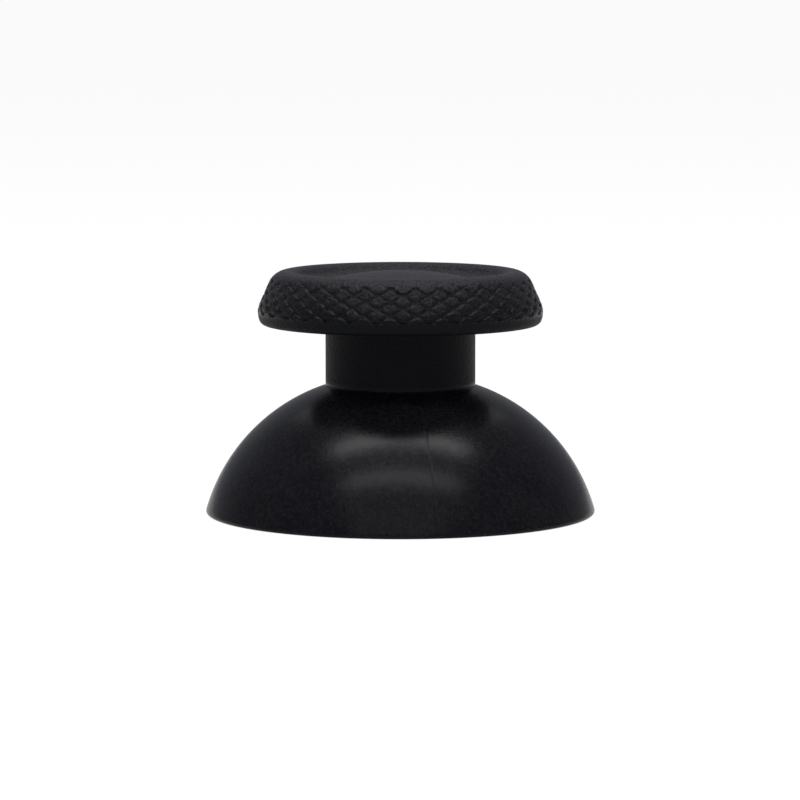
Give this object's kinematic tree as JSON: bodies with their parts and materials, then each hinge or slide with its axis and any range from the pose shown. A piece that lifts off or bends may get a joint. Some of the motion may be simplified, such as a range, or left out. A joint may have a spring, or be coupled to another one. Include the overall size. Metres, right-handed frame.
{
  "type": "thumbstick cap",
  "caption": "Joystick cap with a ball-shaped hollow skirt, a short neck and a round head with a knurled ring, pushed onto a flatted shaft.",
  "frame": {"origin": "middle of the rim plane that the skirt stands on", "axes": "+Z along the axis of the neck, from the rim towards the crown of the head; the two flats of the socket face +Y and -Y"},
  "size_m": [0.0254, 0.0254, 0.0158],
  "materials": {
    "moulded_plastic": "black moulding with a fine satin surface, duller on the knurled ring"
  },
  "bodies": {
    "root": {"thumbstick_cap": "moulded_plastic"}
  },
  "joints": []
}
